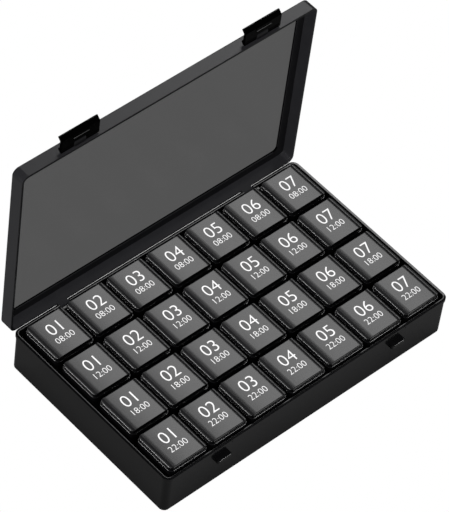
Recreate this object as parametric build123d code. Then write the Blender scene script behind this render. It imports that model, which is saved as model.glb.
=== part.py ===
"""Weekly pill organizer: 28 flip-cap boxes in a case with a hinged lid and two swing latches.

Millimetres, +Z up. The origin is the centre of the case's underside, +X runs along the days and +Y
goes back to the hinge. The lid is modelled closed and turned open, and the latches stand out.
"""
import math
import os

from build123d import *

os.makedirs("parts", exist_ok=True)

# Grid of boxes: days along X, doses from back to front
days = 7
doses = 4
day_pitch = 27.0
dose_pitch = 29.1

# Case base
side_margin = 3.5
front_margin = 1.3
back_margin = 2.7
base_height = 27.0
base_wall = 1.25
floor_thickness = 1.6
rim_overhang = 0.45
rim_height = 2.4
rim_radius = 4.0
rim_slope = 13.0
rim_edge = 0.25
foot_edge = 1.2
rib_height = 1.0
rib_clearance = 0.5

# Box cup
flange_gap_days = 1.6
flange_gap_doses = 2.5
flange_step = 0.6
flange_height = 2.6
flange_rise = 1.4
flange_radius = 2.5
flange_edge = 0.35
cup_wall = 1.0
cup_floor = 1.0
cup_foot_edge = 0.5
cup_seat_gap = 0.15

# Box cap
cap_inset = 0.5
cap_gap = 0.3
cap_thickness = 2.6
cap_top_wall = 1.1
cap_wall = 1.0
cap_corner = 2.0
cap_edge = 0.25
cap_back_edge = 0.8
shoulder_width = 3.6
shoulder_drop = 1.2
plug_wall = 0.9
plug_depth = 1.2
plug_clearance = 0.4
cap_hinge_skin = 0.4
cap_lug_offset = 6.0
cap_lug_width = 1.6
cap_lug_radius = 0.9
cap_lug_gap = 0.25
cap_pin_radius = 0.4
cap_pin_length = 1.2

# Case lid
lid_gap = 0.2
lid_headroom = 2.8
lid_overhang = 0.35
lid_front_inset = 0.9
lid_back_inset = 0.9
lid_wall = 1.2
lid_top_wall = 1.2
lid_edge = 0.8
window_border = 5.0
window_recess = 0.3
open_angle = 90.0

# Case hinge
hinge_inset = 1.0
hinge_drop = 1.77
hinge_from_side = 34.0
knuckle_radius = 1.35
knuckle_length = 6.0
knuckle_gap = 0.25
hinge_arm_rise = 3.0
hinge_pin_radius = 0.6
hinge_pin_length = 1.6
hinge_lug_wall = 0.75
hinge_lug_length = 3.0
hinge_boss_wall = 0.9
hinge_boss_drop = 3.2

# Latches and catches
latch_from_side = 37.4
latch_width = 24.4
latch_thickness = 1.6
latch_gap = 0.3
latch_arm = 6.65
latch_tail = 1.75
latch_plate_offset = 1.15
latch_pivot_height = 2.45
latch_knuckle_radius = 1.3
lip_length = 3.25
lip_angle = 45.0
pad_width = 10.0
pad_thickness = 0.3
hook_length = 0.8
hook_gap = 0.2
latch_lug_width = 7.5
latch_lug_radius = 1.2
latch_lug_gap = 0.25
latch_pin_radius = 0.6
latch_pin_length = 1.6
catch_lip = 1.2
notch_clearance = 1.35
tab_width = 9.4
tab_depth = 3.0
tab_thickness = 2.0
tab_drop = 7.4

# Clearance of every stub pin in its hole, and the overlap of joined lumps
pin_clearance = 0.1
weld = 0.3

# Sizes that follow from the ones above
case_length = days * day_pitch + 2 * side_margin
case_width = doses * dose_pitch + front_margin + back_margin
grid_shift = (front_margin - back_margin) / 2
wall_length = case_length - 2 * rim_overhang
wall_width = case_width - 2 * rim_overhang
wall_radius = rim_radius - rim_overhang
inner_length = wall_length - 2 * base_wall
inner_width = wall_width - 2 * base_wall
inner_radius = wall_radius - base_wall
back_face = case_width / 2
front_face = -case_width / 2

flange_length = day_pitch - flange_gap_days
flange_width = dose_pitch - flange_gap_doses
cup_length = flange_length - 2 * flange_step
cup_width = flange_width - 2 * flange_step
cup_radius = flange_radius - flange_step
cup_bottom = floor_thickness + cup_seat_gap
flange_top = base_height + flange_rise
mouth_length = cup_length - 2 * cup_wall
mouth_width = cup_width - 2 * cup_wall

cap_bottom = flange_top + cap_gap
cap_top = cap_bottom + cap_thickness
cap_half = flange_length / 2 - cap_inset
cap_front = -flange_width / 2 + cap_inset
cap_back = flange_width / 2 - cap_inset
cap_axis_z = cap_top - cap_hinge_skin - cap_lug_gap - cap_lug_radius
cap_barrel = cap_axis_z - cap_bottom
cap_axis_y = cap_back - cap_barrel
cap_lug_outer = cap_lug_offset + cap_lug_width
cap_pin_end = cap_lug_offset - cap_lug_gap + cap_pin_length

lid_rim = base_height + lid_gap
lid_top = cap_top + lid_headroom + lid_top_wall
lid_length = case_length + 2 * lid_overhang
lid_front = front_face + lid_front_inset
lid_back = back_face - lid_back_inset
lid_width = lid_back - lid_front
lid_middle = (lid_back + lid_front) / 2
lid_radius = rim_radius
hinge_y = back_face - hinge_inset
hinge_z = base_height - hinge_drop
hinge_axis = Axis((0, hinge_y, hinge_z), (1, 0, 0))
hinge_offset = case_length / 2 - hinge_from_side
hinge_lug_radius = hinge_pin_radius + pin_clearance + hinge_lug_wall

latch_offset = case_length / 2 - latch_from_side
latch_standoff = lid_front_inset + latch_gap + latch_plate_offset
latch_y = lid_front - latch_standoff
latch_z = lid_rim + latch_pivot_height
plate_inner = latch_z - latch_plate_offset
plate_outer = plate_inner + latch_thickness
hook_reach = lid_gap + latch_pivot_height + catch_lip + hook_gap
hook_depth = latch_gap + rim_overhang - hook_gap
notch_width = pad_width + 2 * notch_clearance


def block(x_low, x_high, y_low, y_high, z_low, z_high):
    """Box between two corners."""
    centre = Pos((x_low + x_high) / 2, (y_low + y_high) / 2, (z_low + z_high) / 2)
    return centre * Box(x_high - x_low, y_high - y_low, z_high - z_low)


def slab(length, width, radius, z_low, z_high, y_centre=0.0):
    """Upright prism on a rectangle with round corners."""
    return Pos(0, y_centre, z_low) * extrude(RectangleRounded(length, width, radius), z_high - z_low)


def rod(radius, x_low, x_high, y, z):
    """Round bar along X."""
    return Pos((x_low + x_high) / 2, y, z) * Rot(0, 90, 0) * Cylinder(radius, x_high - x_low)


def side_prism(points, width):
    """Prism along X, centred on x = 0, over a polygon of (y, z) points."""
    return extrude(Plane.YZ * Polygon(*points, align=None), width / 2, both=True)


def end_rods(radius, x_inner, x_outer, y, z):
    """Pair of round bars along X, mirrored about x = 0."""
    return [rod(radius, x_inner, x_outer, y, z), rod(radius, -x_outer, -x_inner, y, z)]


def make_cup():
    """Lift-out cup with its flange and the two lugs that hold the cap's pins."""
    flange_bottom = flange_top - flange_height
    body = slab(cup_length, cup_width, cup_radius, cup_bottom, flange_bottom + weld)
    body = fillet(body.faces().sort_by(Axis.Z)[0].edges(), cup_foot_edge)
    flange = slab(flange_length, flange_width, flange_radius, flange_bottom, flange_top)
    flange = fillet(flange.faces().sort_by(Axis.Z)[-1].edges(), flange_edge)
    cup = body + flange
    cup -= slab(mouth_length, mouth_width, cup_radius - cup_wall, cup_bottom + cup_floor, flange_top)
    for x_low, x_high in ((cap_lug_offset, cap_lug_outer), (-cap_lug_outer, -cap_lug_offset)):
        cup += block(x_low, x_high, cap_axis_y - cap_lug_radius, cap_axis_y + cap_lug_radius,
                     flange_top - weld, cap_axis_z)
        cup += rod(cap_lug_radius, x_low, x_high, cap_axis_y, cap_axis_z)
    cup -= end_rods(cap_pin_radius + pin_clearance, cap_lug_offset - weld, cap_pin_end + pin_clearance,
                    cap_axis_y, cap_axis_z)
    return cup


def make_cap():
    """Flip cap: soft shoulders left and right, a hidden barrel at the back and a plug ring below."""
    shoulder = cap_half - shoulder_width
    shoulder_z = cap_top - shoulder_drop
    pocket_front = cap_axis_y - cap_lug_radius - cap_lug_gap
    pocket_top = cap_top - cap_hinge_skin
    outline = Polyline((-shoulder, cap_top), (shoulder, cap_top))
    outline += TangentArc((shoulder, cap_top), (cap_half, shoulder_z), tangent=(1, 0))
    outline += Polyline((cap_half, shoulder_z), (cap_half, cap_bottom), (-cap_half, cap_bottom),
                        (-cap_half, shoulder_z))
    outline += TangentArc((-shoulder, cap_top), (-cap_half, shoulder_z), tangent=(-1, 0))
    cap = extrude(Plane.XZ * make_face(outline), flange_width, both=True)
    profile = block(-cap_half, cap_half, cap_front, cap_back, cap_bottom, cap_top)
    back_edges = profile.edges().filter_by(Axis.X).sort_by(Axis.Y)[-2:].sort_by(Axis.Z)
    profile = fillet(back_edges[:1], cap_barrel)
    back_edges = profile.edges().filter_by(Axis.X).sort_by(Axis.Z)[-2:].sort_by(Axis.Y)
    profile = fillet(back_edges[-1:], cap_back_edge)
    plan = slab(2 * cap_half, cap_back - cap_front, cap_corner, cap_bottom, cap_top,
                (cap_back + cap_front) / 2)
    cap = cap & profile & plan
    sharp = [edge for edge in cap.edges() if edge.center().Z > shoulder_z - cap_edge / 2
             and (abs(edge.center().X) > cap_half - cap_edge / 2
                  or edge.center().Y < cap_front + cap_corner)]
    cap = fillet(sharp, cap_edge)
    cap -= block(cap_wall - cap_half, cap_half - cap_wall, cap_front + cap_wall, pocket_front - cap_wall,
                 cap_bottom, cap_top - cap_top_wall - shoulder_drop / 2)
    for x_low, x_high in ((cap_lug_offset, cap_lug_outer), (-cap_lug_outer, -cap_lug_offset)):
        cap -= block(x_low - cap_lug_gap, x_high + cap_lug_gap, pocket_front, cap_back,
                     cap_bottom, pocket_top)
    plug_half = mouth_length / 2 - plug_clearance
    plug_front = plug_clearance - mouth_width / 2
    plug_back = pocket_front - plug_clearance
    plug_bottom = flange_top - plug_depth
    plug_top = cap_top - cap_top_wall - shoulder_drop / 2
    plug = block(-plug_half, plug_half, plug_front, plug_back, plug_bottom, plug_top + weld)
    plug -= block(plug_wall - plug_half, plug_half - plug_wall, plug_front + plug_wall,
                  plug_back - plug_wall, plug_bottom, plug_top)
    cap += plug
    cap += end_rods(cap_pin_radius, cap_lug_offset - cap_lug_gap - weld, cap_pin_end, cap_axis_y, cap_axis_z)
    return cap


def make_base():
    """Tray with its rim bead, placing ribs, hinge pockets and the two catches."""
    tray = slab(wall_length, wall_width, wall_radius, 0, base_height - rim_edge)
    tray = fillet(tray.faces().sort_by(Axis.Z)[0].edges(), foot_edge)
    tray -= slab(inner_length, inner_width, inner_radius, floor_thickness, base_height)
    rim = slab(case_length, case_width, rim_radius, base_height - rim_height, base_height)
    rim -= slab(inner_length, inner_width, inner_radius, base_height - rim_height, base_height)
    crest = rim.faces().sort_by(Axis.Z)[-1]
    rim_run = rim_overhang + base_wall - 2 * rim_edge
    rim_fall = rim_run * math.tan(math.radians(rim_slope))
    rim = chamfer(crest.outer_wire().edges(), rim_run, rim_fall, reference=crest)
    rim = fillet(rim.faces().sort_by(Axis.Z)[-1].inner_wires()[0].edges(), rim_edge)
    rim = fillet(rim.faces().sort_by(Axis.Z)[0].outer_wire().edges(), rim_edge)
    base = tray + rim

    rib_x = day_pitch - cup_length - 2 * rib_clearance
    rib_y = dose_pitch - cup_width - 2 * rib_clearance
    rib_low = floor_thickness - weld
    rib_high = floor_thickness + rib_height
    ribs = []
    for day in range(1, days):
        x = (day - days / 2) * day_pitch
        ribs.append(block(x - rib_x / 2, x + rib_x / 2, -inner_width / 2 - weld, inner_width / 2 + weld,
                          rib_low, rib_high))
    for dose in range(1, doses):
        y = grid_shift + (dose - doses / 2) * dose_pitch
        ribs.append(block(-inner_length / 2 - weld, inner_length / 2 + weld, y - rib_y / 2, y + rib_y / 2,
                          rib_low, rib_high))
    base += ribs

    pocket_half = knuckle_length / 2 + knuckle_gap
    pocket_reach = knuckle_radius + knuckle_gap
    lug_end = pocket_half + hinge_lug_length
    boss = block(-lug_end, lug_end, hinge_y - pocket_reach - hinge_boss_wall, inner_width / 2 + weld,
                 hinge_z - hinge_boss_drop, hinge_z + hinge_pin_radius)
    boss += rod(hinge_lug_radius, -lug_end, lug_end, hinge_y, hinge_z)
    boss -= block(-lug_end, lug_end, back_face, back_face + 2 * hinge_lug_radius, 0, base_height)
    pocket = block(-pocket_half, pocket_half, hinge_y - pocket_reach, back_face + hinge_lug_radius,
                   hinge_z - pocket_reach, base_height)
    hole_end = knuckle_length / 2 + hinge_pin_length + pin_clearance
    pocket += rod(hinge_pin_radius + pin_clearance, -hole_end, hole_end, hinge_y, hinge_z)
    tab_high = base_height - tab_drop
    tab_root = front_face + rim_overhang + weld
    tab = block(-tab_width / 2, tab_width / 2, tab_root - weld - tab_depth, tab_root,
                tab_high - tab_thickness, tab_high)
    tab = fillet(tab.edges().filter_by(Axis.Z).sort_by(Axis.Y)[:2], tab_depth / 3)
    tab = fillet(tab.faces().sort_by(Axis.Z)[-1].outer_wire().edges().sort_by(Axis.Y)[:-1], rim_edge)
    notch = block(-notch_width / 2, notch_width / 2, front_face - weld, front_face + rim_overhang,
                  base_height - rim_height - weld, base_height - catch_lip)
    for side in (-1, 1):
        base += Pos(side * hinge_offset, 0, 0) * boss
        base -= Pos(side * hinge_offset, 0, 0) * pocket
        base += Pos(side * latch_offset, 0, 0) * tab
        base -= Pos(side * latch_offset, 0, 0) * notch
    return base


def make_lid():
    """Closed lid: shallow shell with a window recess, hinge arms and the lugs of the latches."""
    inside_top = lid_top - lid_top_wall
    inside_length = lid_length - 2 * lid_wall
    inside_width = lid_width - 2 * lid_wall
    inside_radius = lid_radius - lid_wall
    lid = slab(lid_length, lid_width, lid_radius, lid_rim, lid_top, lid_middle)
    lid = fillet(lid.faces().sort_by(Axis.Z)[-1].edges(), lid_edge)
    lid = fillet(lid.faces().sort_by(Axis.Z)[0].edges(), rim_edge)
    lid -= slab(inside_length, inside_width, inside_radius, lid_rim, inside_top, lid_middle)
    lid -= slab(inside_length - 2 * window_border, inside_width - 2 * window_border, inside_radius,
                inside_top, inside_top + window_recess, lid_middle)

    knuckle_half = knuckle_length / 2
    arm = block(-knuckle_half, knuckle_half, hinge_y - knuckle_radius, hinge_y + knuckle_radius,
                hinge_z, lid_rim + hinge_arm_rise)
    arm += rod(knuckle_radius, -knuckle_half, knuckle_half, hinge_y, hinge_z)
    arm -= block(-knuckle_half, knuckle_half, lid_back - knuckle_radius * 2, lid_back - lid_wall,
                 lid_rim, lid_top)
    arm += rod(hinge_pin_radius, -knuckle_half - hinge_pin_length, knuckle_half + hinge_pin_length,
               hinge_y, hinge_z)
    lug_half = latch_lug_width / 2
    lug = block(-lug_half, lug_half, latch_y, lid_front + weld,
                latch_z - latch_lug_radius, latch_z + latch_lug_radius)
    lug += rod(latch_lug_radius, -lug_half, lug_half, latch_y, latch_z)
    lug += rod(latch_pin_radius, -lug_half - latch_pin_length, lug_half + latch_pin_length, latch_y, latch_z)
    for side in (-1, 1):
        lid += Pos(side * hinge_offset, 0, 0) * arm
        lid += Pos(side * latch_offset, 0, 0) * lug
    return lid


def make_latch():
    """Latch at the middle of the closed lid, swung straight out from the lid's front wall."""
    lip = Vector(0, -lip_length, 0).rotate(Axis.X, -lip_angle)
    across = Vector(0, 0, latch_thickness).rotate(Axis.X, -lip_angle)
    bend_y = latch_y - latch_arm
    bend = (bend_y, plate_inner)
    tip = (bend_y + lip.Y, plate_inner + lip.Z)
    tip_outer = (tip[0] + across.Y, tip[1] + across.Z)
    lean = latch_thickness * (across.Y / (latch_thickness + across.Z))
    bend_outer = (bend_y + lean, plate_outer)
    tail_y = latch_y + latch_tail
    plate = side_prism([(tail_y, plate_inner), bend, tip, tip_outer, bend_outer, (tail_y, plate_outer)],
                       latch_width)
    plate = fillet(plate.edges().filter_by(Axis.X).sort_by(Axis.Y)[:2], latch_thickness / 4)
    plate += rod(latch_knuckle_radius, -latch_width / 2, latch_width / 2, latch_y, latch_z)

    opening_half = latch_lug_width / 2 + latch_lug_gap
    opening_reach = latch_lug_radius + latch_lug_gap
    plate -= block(-opening_half, opening_half, latch_y - opening_reach, tail_y + latch_knuckle_radius,
                   latch_z - 2 * latch_knuckle_radius, latch_z + 2 * latch_knuckle_radius)
    hole_end = latch_lug_width / 2 + latch_pin_length + pin_clearance
    plate -= rod(latch_pin_radius + pin_clearance, -hole_end, hole_end, latch_y, latch_z)

    hook_y = latch_y - hook_reach
    hook = block(-pad_width / 2, pad_width / 2, hook_y - hook_length, hook_y,
                 plate_inner - hook_depth, plate_inner + weld)
    pad_drop = Vector(0, 0, -pad_thickness).rotate(Axis.X, -lip_angle)
    pad_lean = pad_thickness * (pad_drop.Y / (pad_thickness - pad_drop.Z))
    pad = side_prism([(hook_y - weld, plate_inner - pad_thickness),
                      (bend_y + pad_lean, plate_inner - pad_thickness),
                      (tip[0] + pad_drop.Y, tip[1] + pad_drop.Z),
                      tip, bend, (hook_y - weld, plate_inner)], pad_width)
    return plate + hook + pad


def open_with_lid(shape):
    """Turn a shape modelled on the closed lid to the open lid of the rest pose."""
    return shape.rotate(hinge_axis, -open_angle)


export_step(make_base(), "parts/case_base.step")
export_step(open_with_lid(make_lid()), "parts/case_lid.step")
latch_shape = open_with_lid(make_latch())
export_step(Pos(-latch_offset, 0, 0) * latch_shape, "parts/latch_left.step")
export_step(Pos(latch_offset, 0, 0) * latch_shape, "parts/latch_right.step")
cup_shape = make_cup()
cap_shape = make_cap()
for day in range(days):
    for dose in range(doses):
        x = (day - (days - 1) / 2) * day_pitch
        y = grid_shift + ((doses - 1) / 2 - dose) * dose_pitch
        export_step(Pos(x, y, 0) * cup_shape, f"parts/cup_day{day + 1}_dose{dose + 1}.step")
        export_step(Pos(x, y, 0) * cap_shape, f"parts/cap_day{day + 1}_dose{dose + 1}.step")
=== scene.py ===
"""Weekly pill organizer: finishes, printed numbers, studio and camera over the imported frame."""
import logging
import math
from dataclasses import dataclass
from enum import Enum

import bpy
from mathutils import Matrix, Vector

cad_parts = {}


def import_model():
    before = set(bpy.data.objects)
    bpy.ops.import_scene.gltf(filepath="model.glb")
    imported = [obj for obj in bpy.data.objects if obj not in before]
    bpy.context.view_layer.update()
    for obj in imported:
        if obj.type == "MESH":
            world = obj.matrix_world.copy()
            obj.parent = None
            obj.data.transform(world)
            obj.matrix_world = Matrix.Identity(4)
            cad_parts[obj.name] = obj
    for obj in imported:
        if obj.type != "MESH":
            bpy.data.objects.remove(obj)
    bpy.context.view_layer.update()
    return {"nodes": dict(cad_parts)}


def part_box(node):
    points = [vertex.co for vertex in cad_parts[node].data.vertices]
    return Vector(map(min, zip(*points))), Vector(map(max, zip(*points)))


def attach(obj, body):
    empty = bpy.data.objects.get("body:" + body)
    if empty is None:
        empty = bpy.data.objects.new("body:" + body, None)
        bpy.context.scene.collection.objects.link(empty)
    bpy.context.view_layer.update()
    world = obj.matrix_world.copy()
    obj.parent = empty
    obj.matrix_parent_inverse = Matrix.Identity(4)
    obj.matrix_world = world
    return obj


LOG = logging.getLogger("pill_organizer")
MM = 0.001
# Height of a digit as a share of the font's size
DIGIT_SHARE = 0.54
# Colour sockets of a Mix node: its two inputs and its result
MIX_A, MIX_B, MIX_RESULT = 6, 7, 2
WHITE = (1, 1, 1, 1)


class Stamp(Enum):
    """Time of day printed small on a cap, one for each dose."""

    MORNING = "08:00"
    NOON = "12:00"
    EVENING = "18:00"
    NIGHT = "22:00"


class Facing(Enum):
    """Whether a studio light is seen in reflections."""

    SOFTBOX = True
    FILL = False


class Linking(Enum):
    """What a light does with the objects of one of its collections."""

    KEEP = "INCLUDE"
    SKIP = "EXCLUDE"


def linear(hex_colour: str) -> tuple[float, float, float, float]:
    """Turn an sRGB hex colour into the linear colour that nodes take.

    Args:
        hex_colour: Colour as "#rrggbb".

    Returns:
        Linear red, green, blue and an alpha of 1.
    """
    levels = [int(hex_colour[i:i + 2], 16) / 255 for i in (1, 3, 5)]
    # The constants are those of the sRGB curve
    values = [v / 12.92 if v <= 0.04045 else ((v + 0.055) / 1.055) ** 2.4 for v in levels]
    return values[0], values[1], values[2], 1.0


def add(tree: bpy.types.NodeTree, kind: str, links: dict | None = None,
        **settings: object) -> bpy.types.Node:
    """Add one node, set its properties and inputs and link what feeds it.

    Args:
        tree: Node tree that gets the node.
        kind: Node type name.
        links: Input name or index to the output socket that feeds it.
        settings: Properties of the node, or values of inputs, with "_" for a space in their name.

    Returns:
        The new node.
    """
    node = tree.nodes.new(kind)
    for key, value in settings.items():
        if hasattr(node, key):
            setattr(node, key, value)
        else:
            node.inputs[key.replace("_", " ")].default_value = value
    for key, output in (links or {}).items():
        tree.links.new(output, node.inputs[key])
    return node


def math_node(tree: bpy.types.NodeTree, operation: str,
              *values: bpy.types.NodeSocket | float) -> bpy.types.NodeSocket:
    """Add a Math node on sockets or plain numbers.

    Args:
        tree: Node tree that gets the node.
        operation: Math operation.
        values: Sockets or numbers, in input order.

    Returns:
        The node's output.
    """
    node = add(tree, "ShaderNodeMath", operation=operation)
    for index, value in enumerate(values):
        if isinstance(value, bpy.types.NodeSocket):
            tree.links.new(value, node.inputs[index])
        else:
            node.inputs[index].default_value = value
    return node.outputs[0]


def join(tree: bpy.types.NodeTree, *parts: bpy.types.NodeSocket) -> bpy.types.NodeSocket:
    """Join geometries.

    Args:
        tree: Node group that gets the node.
        parts: Geometries, in order.

    Returns:
        The joined geometry.
    """
    node = add(tree, "GeometryNodeJoinGeometry")
    for part in parts:
        tree.links.new(part, node.inputs[0])
    return node.outputs[0]


def empty_tree(owner: bpy.types.ID) -> bpy.types.NodeTree:
    """Switch a material or world to nodes and empty its tree.

    Args:
        owner: Material or world.

    Returns:
        The empty tree.
    """
    owner.use_nodes = True
    owner.node_tree.nodes.clear()
    return owner.node_tree


@dataclass(frozen=True, kw_only=True)
class Finish:
    """A procedural finish with one surface shader."""

    name: str

    def shader(self, tree: bpy.types.NodeTree) -> bpy.types.NodeSocket:
        """Build the surface shader, which each kind of finish does in its own way."""
        raise NotImplementedError

    def build(self) -> bpy.types.Material:
        """Build the material.

        Returns:
            The finished material.
        """
        material = bpy.data.materials.new(self.name)
        tree = empty_tree(material)
        add(tree, "ShaderNodeOutputMaterial", {"Surface": self.shader(tree)})
        return material


@dataclass(frozen=True, kw_only=True)
class MouldedPlastic(Finish):
    """Injection-moulded plastic: near-even colour, faint flow clouds and a fine eroded grain."""

    colour: str
    cloud_colour: str
    roughness: float
    roughness_spread: float
    grain: float
    grain_strength: float
    grain_depth: float = 0.02 * MM
    cloud: float = 9 * MM
    specular: float = 0.5
    ior: float = 1.5

    def form(self, tree: bpy.types.NodeTree, place: bpy.types.NodeSocket) -> dict:
        """Give the bump links of the shape under the grain; plain plastic has none."""
        return {}

    def shader(self, tree: bpy.types.NodeTree) -> bpy.types.NodeSocket:
        """Build the plastic's shader in a tree.

        Args:
            tree: Material tree.

        Returns:
            The Principled shader's output.
        """
        place = add(tree, "ShaderNodeTexCoord").outputs["Object"]
        clouds = add(tree, "ShaderNodeTexNoise", {"Vector": place},
                     Scale=1 / self.cloud, Detail=3.0)
        grain = add(tree, "ShaderNodeTexNoise", {"Vector": place},
                    Scale=1 / self.grain, Detail=2.0)
        tint = add(tree, "ShaderNodeMix", {"Factor": clouds.outputs["Fac"]}, data_type="RGBA")
        tint.inputs[MIX_A].default_value = linear(self.colour)
        tint.inputs[MIX_B].default_value = linear(self.cloud_colour)
        gloss = add(tree, "ShaderNodeMapRange", {"Value": clouds.outputs["Fac"]},
                    To_Min=self.roughness - self.roughness_spread,
                    To_Max=self.roughness + self.roughness_spread)
        bump = add(tree, "ShaderNodeBump",
                   {"Height": grain.outputs["Fac"], **self.form(tree, place)},
                   Strength=self.grain_strength, Distance=self.grain_depth)
        plastic = add(tree, "ShaderNodeBsdfPrincipled",
                      {"Base Color": tint.outputs[MIX_RESULT], "Roughness": gloss.outputs[0],
                       "Normal": bump.outputs[0]},
                      IOR=self.ior, Specular_IOR_Level=self.specular)
        return plastic.outputs[0]


@dataclass(frozen=True, kw_only=True)
class CrownedPlastic(MouldedPlastic):
    """Cap plastic whose face bows up a little, so that light fades over each cap's width."""

    pitch: float
    edge_tilt: float

    def form(self, tree: bpy.types.NodeTree, place: bpy.types.NodeSocket) -> dict:
        """Bow each cap's face about its middle.

        Args:
            tree: Material tree.
            place: Object coordinates.

        Returns:
            Link that lays the grain over the bowed face.
        """
        along = add(tree, "ShaderNodeSeparateXYZ", {0: place}).outputs["X"]
        local = math_node(tree, "WRAP", along, self.pitch / 2, -self.pitch / 2)
        square = math_node(tree, "POWER", math_node(tree, "ABSOLUTE", local), 2.0)
        fall = math_node(tree, "MULTIPLY", square, -self.edge_tilt / self.pitch)
        bow = add(tree, "ShaderNodeBump", {"Height": fall}, Strength=1.0, Distance=1.0)
        return {"Normal": bow.outputs[0]}


@dataclass(frozen=True, kw_only=True)
class WindowedPlastic(MouldedPlastic):
    """The lid's black plastic with a smoked see-through window inside its border."""

    window_low: tuple[float, float]
    window_high: tuple[float, float]
    window_radius: float
    smoke: str
    pane_shine: float = 0.02
    pane_roughness: float = 0.25

    def inside(self, tree: bpy.types.NodeTree) -> bpy.types.NodeSocket:
        """Tell the window's rounded rectangle from its border.

        Args:
            tree: Material tree.

        Returns:
            1 in the window and 0 outside it.
        """
        place = add(tree, "ShaderNodeTexCoord").outputs["Object"]
        axes = add(tree, "ShaderNodeSeparateXYZ", {0: place})
        over = []
        for axis, low, high in zip(("X", "Z"), self.window_low, self.window_high):
            middle = math_node(tree, "SUBTRACT", axes.outputs[axis], (low + high) / 2)
            beyond = math_node(tree, "SUBTRACT", math_node(tree, "ABSOLUTE", middle),
                               (high - low) / 2 - self.window_radius)
            over.append(math_node(tree, "MAXIMUM", beyond, 0.0))
        squares = math_node(tree, "ADD", *(math_node(tree, "POWER", way, 2.0) for way in over))
        return math_node(tree, "LESS_THAN", squares, self.window_radius ** 2)

    def shader(self, tree: bpy.types.NodeTree) -> bpy.types.NodeSocket:
        """Build the plastic's shader with the window cut in by place.

        Args:
            tree: Material tree.

        Returns:
            The output that mixes plastic and window.
        """
        inside = self.inside(tree)
        clear = add(tree, "ShaderNodeBsdfTransparent", Color=linear(self.smoke))
        shine = add(tree, "ShaderNodeBsdfGlossy", Roughness=self.pane_roughness)
        pane = add(tree, "ShaderNodeMixShader", {1: clear.outputs[0], 2: shine.outputs[0]},
                   Fac=self.pane_shine)
        both = add(tree, "ShaderNodeMixShader",
                   {0: inside, 1: super().shader(tree), 2: pane.outputs[0]})
        return both.outputs[0]


@dataclass(frozen=True, kw_only=True)
class PrintedInk(Finish):
    """Pad-printed white ink: flat, chalky and slightly uneven where the pad lifted."""

    colour: str
    thin_colour: str
    roughness: float
    speck: float = 0.4 * MM
    covers_from: float = 0.45

    def shader(self, tree: bpy.types.NodeTree) -> bpy.types.NodeSocket:
        """Build the ink's shader in a tree.

        Args:
            tree: Material tree.

        Returns:
            The Principled shader's output.
        """
        place = add(tree, "ShaderNodeTexCoord").outputs["Object"]
        speck = add(tree, "ShaderNodeTexNoise", {"Vector": place}, Scale=1 / self.speck, Detail=2.0)
        ramp = add(tree, "ShaderNodeValToRGB", {"Fac": speck.outputs["Fac"]})
        stops = ramp.color_ramp.elements
        stops[0].color = linear(self.thin_colour)
        stops[1].color = linear(self.colour)
        stops[1].position = self.covers_from
        ink = add(tree, "ShaderNodeBsdfPrincipled", {"Base Color": ramp.outputs[0]},
                  Roughness=self.roughness)
        return ink.outputs[0]


# Satin black: the walls stay quiet and dark while the rim draws one thin light line
CASE_BLACK = MouldedPlastic(
    name="black_abs_satin_moulded_case", colour="#040405", cloud_colour="#070708",
    roughness=0.19, roughness_spread=0.02, grain=0.35 * MM, grain_strength=0.05)
# Deepest black: the latches read as dark shapes with only the hook's edge catching light
LATCH_BLACK = MouldedPlastic(
    name="black_acetal_moulded_latch", colour="#010101", cloud_colour="#020202",
    roughness=0.30, roughness_spread=0.03, grain=0.30 * MM, grain_strength=0.05, specular=0.05)
# Black with a little shine: the flanges draw fine lines round each box
CUP_BLACK = MouldedPlastic(
    name="black_polypropylene_moulded_cup", colour="#050506", cloud_colour="#080809",
    roughness=0.24, roughness_spread=0.03, grain=0.35 * MM, grain_strength=0.06)
# Semi-gloss black: each cap mirrors the softbox as one even grey that fades to its left edge
CAP_BLACK = CrownedPlastic(
    name="black_polypropylene_semigloss_cap", colour="#0a0a0b", cloud_colour="#0e0e0f",
    roughness=0.20, roughness_spread=0.02, grain=0.30 * MM, grain_strength=0.04,
    pitch=27.0 * MM, edge_tilt=0.06)
# Flat white: the numbers stay bright and readable where the caps shine
WHITE_INK = PrintedInk(
    name="white_pad_printed_ink", colour="#fbfbfb", thin_colour="#e6e6e6", roughness=0.7)


def set_finish(node: bpy.types.Object, material: bpy.types.Material) -> None:
    """Give all faces of a CAD object one finish."""
    node.data.materials.clear()
    node.data.materials.append(material)


@dataclass
class CaseShell:
    """Base, lid and the two latches."""

    nodes: dict[str, bpy.types.Object]
    lid_foot: float = 25.13 * MM
    lid_crown: float = 143.73 * MM
    window_edge: float = 6.2 * MM
    window_radius: float = 2.8 * MM

    def lid_finish(self) -> WindowedPlastic:
        """Fit the lid's finish to the recess of its window.

        Returns:
            Lid plastic whose window covers the recess in the lid.
        """
        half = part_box("case_lid")[1].x - self.window_edge
        # Softer satin black round a smoked pane, which dims what lies behind to an even grey
        return WindowedPlastic(
            name="black_abs_satin_lid_with_smoked_window", colour="#1a1a1c", cloud_colour="#202022",
            roughness=0.34, roughness_spread=0.03, grain=0.35 * MM, grain_strength=0.08,
            window_low=(-half, self.lid_foot + self.window_edge),
            window_high=(half, self.lid_crown - self.window_edge),
            window_radius=self.window_radius, smoke="#959595")

    def build(self) -> None:
        """Give the shell its finishes."""
        set_finish(self.nodes["case_base"], CASE_BLACK.build())
        set_finish(self.nodes["case_lid"], self.lid_finish().build())
        latch = LATCH_BLACK.build()
        for name in ("latch_left", "latch_right"):
            set_finish(self.nodes[name], latch)
            LOG.info("finished %s", name)
        LOG.info("finished case_base and case_lid")


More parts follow.
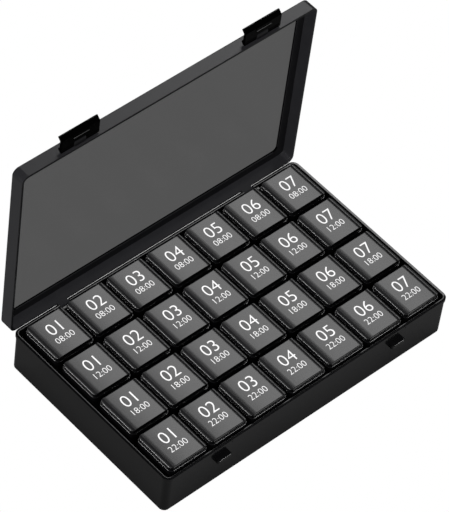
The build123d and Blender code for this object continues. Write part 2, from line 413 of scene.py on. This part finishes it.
@dataclass
class NumberPrint:
    """Day number and dose time printed on a cap, made by one node group for every cap."""

    ink: bpy.types.Material
    day_height: float = 5.8 * MM
    time_height: float = 2.9 * MM
    day_baseline: float = 0.2 * MM
    time_baseline: float = -5.7 * MM
    day_thinning: float = 0.12 * MM
    time_thinning: float = 0.06 * MM
    thickness: float = 0.03 * MM
    outline_step: float = 0.12 * MM
    weld: float = 0.001 * MM

    def sizes(self) -> dict[str, float]:
        """Give the print's sizes under the names of the node group's inputs.

        Returns:
            Input name to metres.
        """
        return {"Day Height": self.day_height, "Day Baseline": self.day_baseline,
                "Day Thinning": self.day_thinning, "Time Height": self.time_height,
                "Time Baseline": self.time_baseline, "Time Thinning": self.time_thinning,
                "Thickness": self.thickness}

    def outlines(self, tree: bpy.types.GeometryNodeTree, given: bpy.types.Node,
                 name: str) -> bpy.types.NodeSocket:
        """Turn one text into outlines, thinned and moved to their height on the cap.

        Args:
            tree: Node group that gets the nodes.
            given: The group's input node.
            name: "Day" or "Time", with which the names of its inputs start.

        Returns:
            The outlines.
        """
        size = math_node(tree, "DIVIDE", given.outputs[f"{name} Height"], DIGIT_SHARE)
        text = add(tree, "GeometryNodeStringToCurves",
                   {"String": given.outputs[name], "Size": size},
                   align_x="CENTER", align_y="BOTTOM_BASELINE")
        loose = add(tree, "GeometryNodeRealizeInstances", {0: text.outputs[0]})
        upright = add(tree, "GeometryNodeSetCurveNormal", {0: loose.outputs[0]})
        dense = add(tree, "GeometryNodeResampleCurve", {0: upright.outputs[0]},
                    mode="LENGTH", Length=self.outline_step)
        across = add(tree, "GeometryNodeInputNormal")
        inward = math_node(tree, "MULTIPLY", given.outputs[f"{name} Thinning"], -1.0)
        shift = add(tree, "ShaderNodeVectorMath", {0: across.outputs[0], "Scale": inward},
                    operation="SCALE")
        slim = add(tree, "GeometryNodeSetPosition",
                   {"Geometry": dense.outputs[0], "Offset": shift.outputs[0]})
        rise = add(tree, "ShaderNodeCombineXYZ", {"Y": given.outputs[f"{name} Baseline"]})
        moved = add(tree, "GeometryNodeTransform",
                    {"Geometry": slim.outputs[0], "Translation": rise.outputs[0]})
        return moved.outputs[0]

    def group(self) -> bpy.types.GeometryNodeTree:
        """Build the node group that turns two texts into one closed printed mesh.

        Returns:
            The node group.
        """
        tree = bpy.data.node_groups.new("number_print", "GeometryNodeTree")
        kinds = {"Geometry": "NodeSocketGeometry", "Day": "NodeSocketString",
                 "Time": "NodeSocketString", "Ink": "NodeSocketMaterial",
                 **dict.fromkeys(self.sizes(), "NodeSocketFloat")}
        for name, kind in kinds.items():
            tree.interface.new_socket(name, in_out="INPUT", socket_type=kind)
        tree.interface.new_socket("Geometry", in_out="OUTPUT", socket_type="NodeSocketGeometry")
        given = add(tree, "NodeGroupInput")
        lines = join(tree, *(self.outlines(tree, given, name) for name in ("Day", "Time")))
        flat = add(tree, "GeometryNodeFillCurve", {0: lines})
        raised = add(tree, "GeometryNodeExtrudeMesh",
                     {"Mesh": flat.outputs[0], "Offset Scale": given.outputs["Thickness"]},
                     Individual=False)
        under = add(tree, "GeometryNodeFlipFaces", {0: flat.outputs[0]})
        closed = join(tree, raised.outputs[0], under.outputs[0])
        merged = add(tree, "GeometryNodeMergeByDistance", {0: closed}, Distance=self.weld)
        real = add(tree, "GeometryNodeRealizeInstances", {0: merged.outputs[0]})
        inked = add(tree, "GeometryNodeSetMaterial",
                    {0: real.outputs[0], "Material": given.outputs["Ink"]})
        add(tree, "NodeGroupOutput", {0: inked.outputs[0]})
        return tree

    def place(self, tree: bpy.types.GeometryNodeTree, cap: str, day: str,
              time: str) -> bpy.types.Object:
        """Print one cap.

        Args:
            tree: Node group from group().
            cap: Name of the cap's node and body.
            day: Large number.
            time: Small time.

        Returns:
            The printed piece, riding on its cap.
        """
        low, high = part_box(cap)
        carrier = bpy.data.objects.new("carrier", bpy.data.meshes.new("carrier"))
        bpy.context.scene.collection.objects.link(carrier)
        modifier = carrier.modifiers.new("print", "NODES")
        modifier.node_group = tree
        values = {"Day": day, "Time": time, "Ink": self.ink, **self.sizes()}
        for item in tree.interface.items_tree:
            if item.in_out == "INPUT" and item.name in values:
                modifier[item.identifier] = values[item.name]
        shaped = carrier.evaluated_get(bpy.context.evaluated_depsgraph_get())
        mesh = bpy.data.meshes.new_from_object(shaped)
        bpy.data.objects.remove(carrier)
        middle = Vector(((low.x + high.x) / 2, (low.y + high.y) / 2, high.z))
        mesh.transform(Matrix.Translation(middle))
        piece = bpy.data.objects.new(cap.replace("cap", "print"), mesh)
        bpy.context.scene.collection.objects.link(piece)
        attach(piece, cap)
        return piece


@dataclass
class BoxGrid:
    """The lift-out boxes: cups, flip caps and the numbers on them."""

    nodes: dict[str, bpy.types.Object]
    days: int = 7

    def build(self) -> None:
        """Finish every cup and cap and print the caps."""
        cup_finish = CUP_BLACK.build()
        cap_finish = CAP_BLACK.build()
        numbers = NumberPrint(WHITE_INK.build())
        tree = numbers.group()
        for day in range(1, self.days + 1):
            for dose, stamp in enumerate(Stamp, start=1):
                name = f"day{day}_dose{dose}"
                set_finish(self.nodes[f"cup_{name}"], cup_finish)
                set_finish(self.nodes[f"cap_{name}"], cap_finish)
                piece = numbers.place(tree, f"cap_{name}", f"{day:02d}", stamp.value)
                LOG.info("finished box %s, %d faces printed", name, len(piece.data.polygons))


@dataclass(frozen=True)
class StudioLight:
    """One soft area light, placed by direction and by the angles that it spans at the object."""

    name: str
    toward: tuple[float, float, float]
    across: tuple[float, float, float]
    span: tuple[float, float]
    radiance: float
    facing: Facing = Facing.SOFTBOX
    only_on: tuple[str, ...] = ()
    not_on: tuple[str, ...] = ()
    lit_through: tuple[str, ...] = ()
    distance: float = 6.0

    def linked(self, nodes: dict[str, bpy.types.Object], use: str, starts: tuple[str, ...],
               linking: Linking) -> bpy.types.Collection:
        """Collect the CAD objects that this light treats in a special way.

        Args:
            nodes: CAD objects by name.
            use: Word for the collection's name.
            starts: Starts of the names to collect.
            linking: Whether the light keeps to these objects or skips them.

        Returns:
            Collection for the light's linking.
        """
        chosen = bpy.data.collections.new(f"{self.name}_{use}")
        for name, node in nodes.items():
            if name.startswith(starts):
                chosen.objects.link(node)
        for entry in chosen.collection_objects:
            entry.light_linking.link_state = linking.value
        return chosen

    def build(self, nodes: dict[str, bpy.types.Object]) -> None:
        """Place the light.

        Args:
            nodes: CAD objects by name, for the light's linking.
        """
        lamp = bpy.data.lights.new(self.name, "AREA")
        lamp.shape = "RECTANGLE"
        lamp.size, lamp.size_y = [
            2 * self.distance * math.tan(math.radians(angle / 2)) for angle in self.span]
        lamp.energy = self.radiance * math.pi * lamp.size * lamp.size_y
        light = bpy.data.objects.new(self.name, lamp)
        bpy.context.scene.collection.objects.link(light)
        along = Vector(self.toward).normalized()
        side = Vector(self.across)
        side = (side - along * side.dot(along)).normalized()
        turn = Matrix((side, along.cross(side), along)).transposed().to_4x4()
        light.matrix_world = Matrix.Translation(along * self.distance) @ turn
        light.visible_glossy = self.facing.value
        light.visible_camera = False
        links = light.light_linking
        if self.only_on:
            links.receiver_collection = self.linked(nodes, "only", self.only_on, Linking.KEEP)
        if self.not_on:
            links.receiver_collection = self.linked(nodes, "not", self.not_on, Linking.SKIP)
        if self.lit_through:
            links.blocker_collection = self.linked(nodes, "through", self.lit_through, Linking.SKIP)


# Starts of the names of what stands between the back lights and the boxes
LID = ("case_lid", "latch")
# Where the caps' flat tops mirror the camera's view to
MIRRORED = (0.516, 0.434, 0.738)
# Way that the mirrored view moves where a cap's left or right shoulder bends
SHOULDER = (0.842, 0.0, -0.54)


@dataclass
class Studio:
    """White floor and backdrop, softboxes for caps, lid and latches, edge strips and two fills."""

    nodes: dict[str, bpy.types.Object]
    lights: tuple[StudioLight, ...] = (
        StudioLight("softbox_back", MIRRORED, SHOULDER, span=(16, 32), radiance=3.6,
                    not_on=LID, lit_through=LID),
        StudioLight("softbox_fade_near", (0.284, 0.423, 0.860), SHOULDER, span=(14, 32),
                    radiance=1.7, only_on=("cap",), lit_through=LID),
        StudioLight("softbox_fade_far", (0.0, 0.376, 0.926), SHOULDER, span=(20, 32),
                    radiance=0.7, only_on=("cap",), lit_through=LID),
        StudioLight("softbox_lid", (0.56, 0.42, 0.71), SHOULDER, span=(16, 32), radiance=2.7,
                    only_on=("case_lid",), distance=1.5),
        StudioLight("softbox_latch", MIRRORED, SHOULDER, span=(20, 30), radiance=20.0,
                    only_on=("latch",), lit_through=LID),
        StudioLight("strip_rim", (0.769, 0.434, 0.467), SHOULDER, span=(6, 24), radiance=5.6,
                    only_on=("case_base",), lit_through=LID),
        StudioLight("strip_horizon", (0.89, 0.43, 0.14), SHOULDER, span=(5, 20), radiance=2.5,
                    only_on=("cap",), lit_through=LID),
        StudioLight("strip_left", (-0.758, 0.434, 0.486), (0.54, 0.0, 0.842), span=(14, 30),
                    radiance=30.0, only_on=("cap", "cup"), lit_through=LID),
        StudioLight("strip_front", (0.486, -0.758, 0.434), SHOULDER, span=(30, 14), radiance=20.0,
                    only_on=("cup", "case_base")),
        StudioLight("fill_overhead", (-0.25, -0.1, 1.0), (1.0, 0.0, 0.0), span=(60, 60),
                    radiance=3.4, facing=Facing.FILL, lit_through=LID),
        StudioLight("fill_left", (-1.0, 0.35, 0.0), (0.0, 0.0, 1.0), span=(40, 40),
                    radiance=13.0, facing=Facing.FILL, only_on=("case_lid",), lit_through=LID),
    )
    floor_half: float = 6.0
    floor_grey: str = "#6c6c6c"
    backdrop_grey: str = "#303030"

    def show(self, tree: bpy.types.NodeTree, output: str, dim: bpy.types.Node,
             white: bpy.types.Node) -> None:
        """Show one shader to the camera and another to light and reflections.

        Args:
            tree: Material or world tree.
            output: Type of the tree's output node.
            dim: Shader for light and reflections.
            white: Shader for the camera.
        """
        path = add(tree, "ShaderNodeLightPath")
        seen = add(tree, "ShaderNodeMixShader",
                   {0: path.outputs["Is Camera Ray"], 1: dim.outputs[0], 2: white.outputs[0]})
        add(tree, output, {"Surface": seen.outputs[0]})

    def floor(self) -> None:
        """Lay the floor: white for the camera, a quiet grey for light and reflections."""
        mesh = bpy.data.meshes.new("studio_floor")
        half = self.floor_half
        corners = [(-half, -half, 0), (half, -half, 0), (half, half, 0), (-half, half, 0)]
        mesh.from_pydata(corners, [], [(0, 1, 2, 3)])
        material = bpy.data.materials.new("white_paper_sweep")
        tree = empty_tree(material)
        paper = add(tree, "ShaderNodeBsdfDiffuse", Color=linear(self.floor_grey))
        white = add(tree, "ShaderNodeEmission", Color=WHITE, Strength=1.0)
        self.show(tree, "ShaderNodeOutputMaterial", paper, white)
        mesh.materials.append(material)
        floor = bpy.data.objects.new("studio_floor", mesh)
        bpy.context.scene.collection.objects.link(floor)

    def backdrop(self) -> None:
        """Set the world: white for the camera, dim grey for light and reflections."""
        world = bpy.data.worlds.new("studio_backdrop")
        tree = empty_tree(world)
        dim = add(tree, "ShaderNodeBackground", Color=linear(self.backdrop_grey), Strength=1.0)
        white = add(tree, "ShaderNodeBackground", Color=WHITE, Strength=1.0)
        self.show(tree, "ShaderNodeOutputWorld", dim, white)
        bpy.context.scene.world = world

    def build(self) -> None:
        """Set up floor, backdrop and lights."""
        self.floor()
        self.backdrop()
        for light in self.lights:
            light.build(self.nodes)
            LOG.info("placed %s", light.name)


@dataclass(frozen=True)
class PhotoCamera:
    """Camera at the photograph's viewing angle, for a frame of 449 by 512."""

    position: tuple[float, float, float] = (-0.88569, -0.77990, 1.44394)
    right: tuple[float, float, float] = (0.741884, -0.663734, 0.095212)
    forward: tuple[float, float, float] = (0.486105, 0.434579, -0.758184)
    lens: float = 251.4
    sensor: float = 36.0
    reach: float = 50.0

    def build(self) -> None:
        """Place the camera and make it the scene's camera."""
        data = bpy.data.cameras.new("photo_camera")
        data.sensor_fit = "VERTICAL"
        data.sensor_height = self.sensor
        data.lens = self.lens
        data.clip_end = self.reach
        camera = bpy.data.objects.new("photo_camera", data)
        bpy.context.scene.collection.objects.link(camera)
        back = -Vector(self.forward).normalized()
        side = Vector(self.right).normalized()
        up = back.cross(side).normalized()
        turn = Matrix((side, up, back)).transposed().to_4x4()
        camera.matrix_world = Matrix.Translation(Vector(self.position)) @ turn
        bpy.context.scene.camera = camera


def main() -> None:
    """Build everything in order."""
    logging.basicConfig(level=logging.INFO, format="%(name)s: %(message)s")
    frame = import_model()
    PhotoCamera().build()
    CaseShell(frame["nodes"]).build()
    BoxGrid(frame["nodes"]).build()
    Studio(frame["nodes"]).build()
    bpy.context.scene.view_settings.view_transform = "Standard"
    LOG.info("wrote the CAD box and the visual box")


if __name__ == "__main__":
    main()
